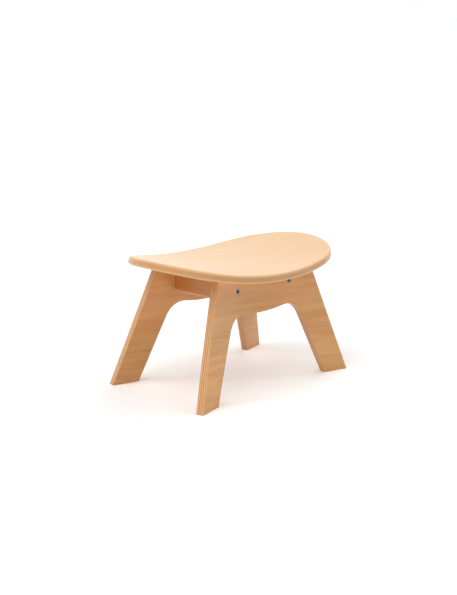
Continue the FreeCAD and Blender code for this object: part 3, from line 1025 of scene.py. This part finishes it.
@dataclass(frozen=True)
class SourceSizes:
    """The source's sizes that the finishes and the fasteners follow, in millimetres and degrees."""

    seat_bend: float = 775.0
    seat_ply: float = 15.0
    seat_dip_height: float = 228.0
    leg_bend: float = 700.0
    leg_ply: float = 15.0
    leg_lean: float = 5.6
    leg_stance: float = 97.5


@dataclass(frozen=True)
class FastenerPlan:
    """Where the stool's fasteners lie. Lengths are in millimetres and angles in degrees."""

    source: SourceSizes = SourceSizes()
    rail_centre: float = 72.0
    bolt_height: float = 193.5
    nut_depth: float = 42.0
    dowel_in_panel: float = 10.0
    dowel_rise: float = 13.0
    screw_place: float = 20.0
    screw_bite: float = 10.0

    @staticmethod
    def _shift(x: float = 0.0, y: float = 0.0, z: float = 0.0) -> Matrix:
        """Returns a frame that is moved and not turned."""
        return Matrix.Translation((x * MM, y * MM, z * MM))

    @staticmethod
    def _turn(axis: Axis, angle: float) -> Matrix:
        """Returns a frame that is turned about an axis through the origin."""
        return Matrix.Rotation(math.radians(angle), 4, axis.name)

    def bolt(self, end: End, side: Side) -> Matrix:
        """Finds a bolt's frame, on the outer face of its panel.

        Args:
            end: The bolt's panel.
            side: The bolt's rail.

        Returns:
            The frame, with Z out of the panel.
        """
        source = self.source
        panel = (
            self._turn(Axis.Z, 0 if end is End.FRONT else 180)
            @ self._shift(y=-source.leg_stance) @ self._turn(Axis.X, -source.leg_lean)
        )
        outer_bend = source.leg_bend + source.leg_ply
        swing = -side.value * end.value * math.degrees(math.asin(self.rail_centre / outer_bend))
        at_axis = self._shift(y=-source.leg_bend, z=self.bolt_height) @ self._turn(Axis.Z, -swing)
        return panel @ at_axis @ self._shift(y=source.leg_bend) @ self._turn(Axis.X, 90)

    def seat_screw(self, end: End, side: Side) -> Matrix:
        """Finds a seat screw's frame, its point a little way up in the seat.

        Args:
            end: The screw's end of its rail.
            side: The screw's rail.

        Returns:
            The frame, with Z up.
        """
        underside = self.source.seat_bend + self.source.seat_ply
        rise = underside - math.sqrt(underside**2 - self.rail_centre**2)
        seat_low = self.source.seat_dip_height - self.source.seat_ply + rise
        return self._shift(
            self.rail_centre * side.value, self.screw_place * end.value, seat_low + self.screw_bite
        )

    def frame(self, kind: Fastener, end: End, side: Side) -> Matrix:
        """Finds a fastener's frame.

        Args:
            kind: The kind of fastener.
            end: Its end of the rail.
            side: Its rail.

        Returns:
            The frame that the fastener is modelled in.
        """
        if kind is Fastener.SEAT_SCREW:
            return self.seat_screw(end, side)
        bolt = self.bolt(end, side)
        if kind is Fastener.BARREL_NUT:
            upright = self._turn(Axis.Y, 90 * side.value * end.value)
            return bolt @ self._shift(z=-self.nut_depth) @ upright
        if kind is Fastener.DOWEL:
            into_panel = self.dowel_in_panel - self.source.leg_ply
            return bolt @ self._shift(y=self.dowel_rise, z=into_panel)
        return bolt


def place_copy(piece: bpy.types.Object, name: str, frame: Matrix) -> bpy.types.Object:
    """Copies a modelled piece, mesh and all, and puts its place into the mesh.

    Args:
        piece: The piece that was modelled once.
        name: The copy's name.
        frame: The copy's place.

    Returns:
        The copy, its object at the origin.
    """
    copy = piece.copy()
    copy.data = piece.data.copy()
    copy.name = copy.data.name = name
    bpy.context.scene.collection.objects.link(copy)
    copy.matrix_world = frame
    pick(copy)
    bpy.ops.object.transform_apply(location=True, rotation=True, scale=True)
    return copy


@dataclass
class Fasteners:
    """The stool's sixteen fasteners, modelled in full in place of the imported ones."""

    plan: FastenerPlan = FastenerPlan()

    def build(self) -> None:
        """Models each kind once, and sets four dressed copies of it in their places."""
        steel = DullNickelSteel("dull_nickel_plated_steel").make()
        # Near-black steel is painted shade for the bolts' deep sockets, which the lamps and the
        # white studio would light grey.
        socket = DullNickelSteel("oiled_steel_socket", colour="#040201", roughness=0.8).make()
        dowel_wood = SolidBeech("turned_beech_dowel", grain=Axis.Y).make()
        kinds = {
            Fastener.BOLT: (Bolt(), (steel, socket), "bolt_steel"),
            Fastener.BARREL_NUT: (BarrelNut(), (steel,), "nut_steel"),
            Fastener.DOWEL: (FlutedDowel(), (dowel_wood,), "dowel_beech"),
            Fastener.SEAT_SCREW: (WoodScrew(), (steel,), "screw_steel"),
        }
        for kind, (maker, finish, slot) in kinds.items():
            piece = maker.build()
            for material in finish:
                piece.data.materials.append(material)
            if kind is Fastener.BOLT:
                self._darken_socket(piece, maker)
            for end in End:
                for side in Side:
                    node = f"{end.name}_{side.name}".lower() + f"_{kind.value}"
                    copy = place_copy(piece, f"{node}_detailed", self.plan.frame(kind, end, side))
                    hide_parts(node)
                    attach(copy, "root")
                    LOG.info("%s takes the place of %s", copy.name, node)
            bpy.data.objects.remove(piece)

    @staticmethod
    def _darken_socket(piece: bpy.types.Object, bolt: Bolt) -> None:
        """Gives the walls of a bolt's socket the near-black second material, painted shade for the
        deep socket.

        Args:
            piece: The bolt, still about Z.
            bolt: Its sizes.
        """
        reach = (bolt.socket / math.sqrt(3) + SOCKET_EASE) * MM
        lip = 0.05
        mouth = -(bolt.sink + lip) * MM
        floor = (-bolt.sink - bolt.socket_depth - bolt.socket) * MM
        for face in piece.data.polygons:
            inside = face.center.xy.length < reach
            face.material_index = int(inside and floor < face.center.z < mouth)


@dataclass
class Stool:
    """The stool's wooden pieces, shown as packed, and their finishes. Slants are in degrees."""

    source: SourceSizes = SourceSizes()
    front_slant: float = -5.0
    rear_slant: float = 3.0
    seat_layers: int = 11

    def leg_finish(self, end: End) -> BeechPlywood:
        """Describes the plywood of one leg panel.

        Args:
            end: Which panel.

        Returns:
            The finish, with the frame of the panel's bend.
        """
        lean, bend = math.radians(self.source.leg_lean), self.source.leg_bend * MM
        out = end.value * (self.source.leg_stance * MM + bend * math.cos(lean))
        return BeechPlywood(
            name=f"moulded_beech_plywood_{end.name.lower()}_leg",
            bend=bend,
            ply=self.source.leg_ply * MM,
            axis_point=(0.0, out, bend * math.sin(lean)),
            turned=(-self.source.leg_lean, 0.0, 0.0 if end is End.FRONT else 180.0),
            grain_across=(0.0, -end.value * math.sin(lean), math.cos(lean)),
            slant=self.front_slant if end is End.FRONT else self.rear_slant,
        )

    def seat_finish(self) -> BeechPlywood:
        """Describes the plywood of the seat.

        Returns:
            The finish, with the frame of the seat's bend.
        """
        source = self.source
        return BeechPlywood(
            name="moulded_beech_plywood_seat",
            bend=source.seat_bend * MM,
            ply=source.seat_ply * MM,
            axis_point=(0.0, 0.0, (source.seat_dip_height + source.seat_bend) * MM),
            turned=(-90.0, 0.0, 0.0),
            grain_across=(0.0, 1.0, 0.0),
            layers=self.seat_layers,
            tones=SEAT_TONES_WITH_PAINTED_LIGHT,
        )

    def dress(self, nodes: dict[str, bpy.types.Object]) -> None:
        """Gives each wooden piece its finish.

        Args:
            nodes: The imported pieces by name.
        """
        legs = {end: self.leg_finish(end) for end in End}
        butts = tuple(legs.values())
        rail = SolidBeech("planed_beech_rail", grain=Axis.Y, tones=RAIL_TONES, butts=butts).make()
        finishes = {"seat": self.seat_finish().make(), "left_rail": rail, "right_rail": rail}
        for end, finish in legs.items():
            finishes[f"{end.name.lower()}_leg_panel"] = finish.make()
        for name, material in finishes.items():
            nodes[name].data.materials.clear()
            nodes[name].data.materials.append(material)
            LOG.info("dressed %s in %s", name, material.name)


@dataclass
class Camera:
    """A plain pinhole camera that stands where the photographer stood."""

    azimuth: float = -45.9575
    elevation: float = 13.3961
    roll: float = 0.5586
    distance: float = 2018.38 * MM
    aim_right: float = -6.769 * MM
    aim_height: float = 156.36 * MM
    focal_pixels: float = 1055.187
    sensor: float = 36.0

    def build(self) -> None:
        """Makes the camera and sets it as the scene's."""
        azimuth, elevation = math.radians(self.azimuth), math.radians(self.elevation)
        roll = math.radians(self.roll)
        back = Vector((
            math.sin(azimuth) * math.cos(elevation),
            -math.cos(azimuth) * math.cos(elevation),
            math.sin(elevation),
        ))
        level = Vector((math.cos(azimuth), math.sin(azimuth), 0.0))
        upright = back.cross(level)
        right = math.cos(roll) * level + math.sin(roll) * upright
        up = -math.sin(roll) * level + math.cos(roll) * upright
        data = bpy.data.cameras.new("camera")
        data.sensor_width = self.sensor
        data.lens = self.focal_pixels / max(IMAGE_WIDTH, IMAGE_HEIGHT) * self.sensor
        camera = bpy.data.objects.new("camera", data)
        bpy.context.scene.collection.objects.link(camera)
        pose = camera.matrix_world.to_3x3()
        for row in range(3):
            pose[row] = (right[row], up[row], back[row])
        camera.matrix_world = pose.to_4x4()
        aim = level * self.aim_right + Vector((0, 0, self.aim_height))
        camera.location = aim + back * self.distance
        bpy.context.scene.camera = camera


@dataclass(frozen=True)
class Lamp:
    """A broad far lamp. Angles are in degrees, the azimuth counted from +X towards +Y."""

    name: str
    azimuth: float
    elevation: float
    strength: float
    spread: float = 60.0

    def build(self) -> None:
        """Makes the lamp.

        Polished surfaces show the white studio and not the lamp, which would burn a patch of them
        out.
        """
        azimuth, elevation = math.radians(self.azimuth), math.radians(self.elevation)
        towards = Vector((
            math.cos(azimuth) * math.cos(elevation),
            math.sin(azimuth) * math.cos(elevation),
            math.sin(elevation),
        ))
        data = bpy.data.lights.new(self.name, "SUN")
        data.energy = self.strength
        data.angle = math.radians(self.spread)
        lamp = bpy.data.objects.new(self.name, data)
        bpy.context.scene.collection.objects.link(lamp)
        lamp.rotation_mode = "QUATERNION"
        lamp.rotation_quaternion = towards.to_track_quat("Z", "Y")
        lamp.visible_glossy = False


@dataclass
class Studio:
    """A plain pale floor without an edge, white all round, and broad lamps on every side.

    The strongest lamp stands past the seat's left tip and a weaker one past its right tip, so the
    shadow is soft and lies mostly between the legs.
    """

    floor_colour: str = "#f7f7f7"
    floor_side: float = 60.0
    floor_lift: float = 0.15
    lamps: tuple[Lamp, ...] = (
        Lamp("lamp_left", azimuth=176.0, elevation=50.0, strength=2.15),
        Lamp("lamp_right", azimuth=5.0, elevation=42.0, strength=1.5),
        Lamp("lamp_front", azimuth=298.0, elevation=54.0, strength=0.8),
        Lamp("lamp_rear", azimuth=90.0, elevation=65.0, strength=0.33),
    )

    def build(self) -> None:
        """Makes the floor, the sky and the lamps."""
        self._floor()
        self._sky()
        for lamp in self.lamps:
            lamp.build()
        bpy.context.scene.view_settings.view_transform = "Standard"

    @staticmethod
    def _looked_at(tree: bpy.types.NodeTree) -> bpy.types.NodeSocket:
        """Tells which rays show the studio to the eye, straight or by way of the stool.

        Args:
            tree: The node tree of the floor or the world.

        Returns:
            A socket that is 1 for camera, glossy and transmission rays.
        """
        ray = add_node(tree, "ShaderNodeLightPath")
        seen = add_node(tree, "ShaderNodeMath", {
            0: ray.outputs["Is Camera Ray"], 1: ray.outputs["Is Glossy Ray"],
        }, operation="MAXIMUM")
        return add_node(tree, "ShaderNodeMath", {
            0: seen.outputs[0], 1: ray.outputs["Is Transmission Ray"],
        }, operation="MAXIMUM").outputs[0]

    def _floor(self) -> None:
        """Makes the floor, matt and near white, which keeps the stool's soft shadow.

        A glow that only the eye sees lifts it to white, and it lights nothing.
        """
        bpy.ops.mesh.primitive_plane_add(size=self.floor_side)
        floor = bpy.context.object
        floor.name = "floor"
        material, tree = new_material("matt_paper_floor")
        paper = add_node(tree, "ShaderNodeBsdfDiffuse", {"Color": to_linear(self.floor_colour)})
        lift = add_node(tree, "ShaderNodeMapRange", {
            "Value": self._looked_at(tree), "To Max": self.floor_lift,
        })
        glow = add_node(tree, "ShaderNodeEmission", {"Strength": lift.outputs["Result"]})
        shader = add_node(tree, "ShaderNodeAddShader", {0: paper.outputs[0], 1: glow.outputs[0]})
        add_node(tree, "ShaderNodeOutputMaterial", {"Surface": shader.outputs[0]})
        floor.data.materials.append(material)

    def _sky(self) -> None:
        """Makes an even sky, which looks white and lights nothing."""
        world = bpy.data.worlds.new("studio")
        world.use_nodes = True
        tree = world.node_tree
        tree.nodes.clear()
        light = add_node(tree, "ShaderNodeBackground", {
            "Color": (1.0, 1.0, 1.0, 1.0), "Strength": self._looked_at(tree),
        })
        add_node(tree, "ShaderNodeOutputWorld", {"Surface": light.outputs[0]})
        bpy.context.scene.world = world


def main() -> None:
    """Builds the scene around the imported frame."""
    logging.basicConfig(level=logging.INFO, format="%(name)s: %(message)s")
    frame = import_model()
    bpy.ops.object.select_all(action="DESELECT")
    Stool().dress(frame["nodes"])
    Fasteners().build()
    Studio().build()
    Camera().build()


if __name__ == "__main__":
    main()
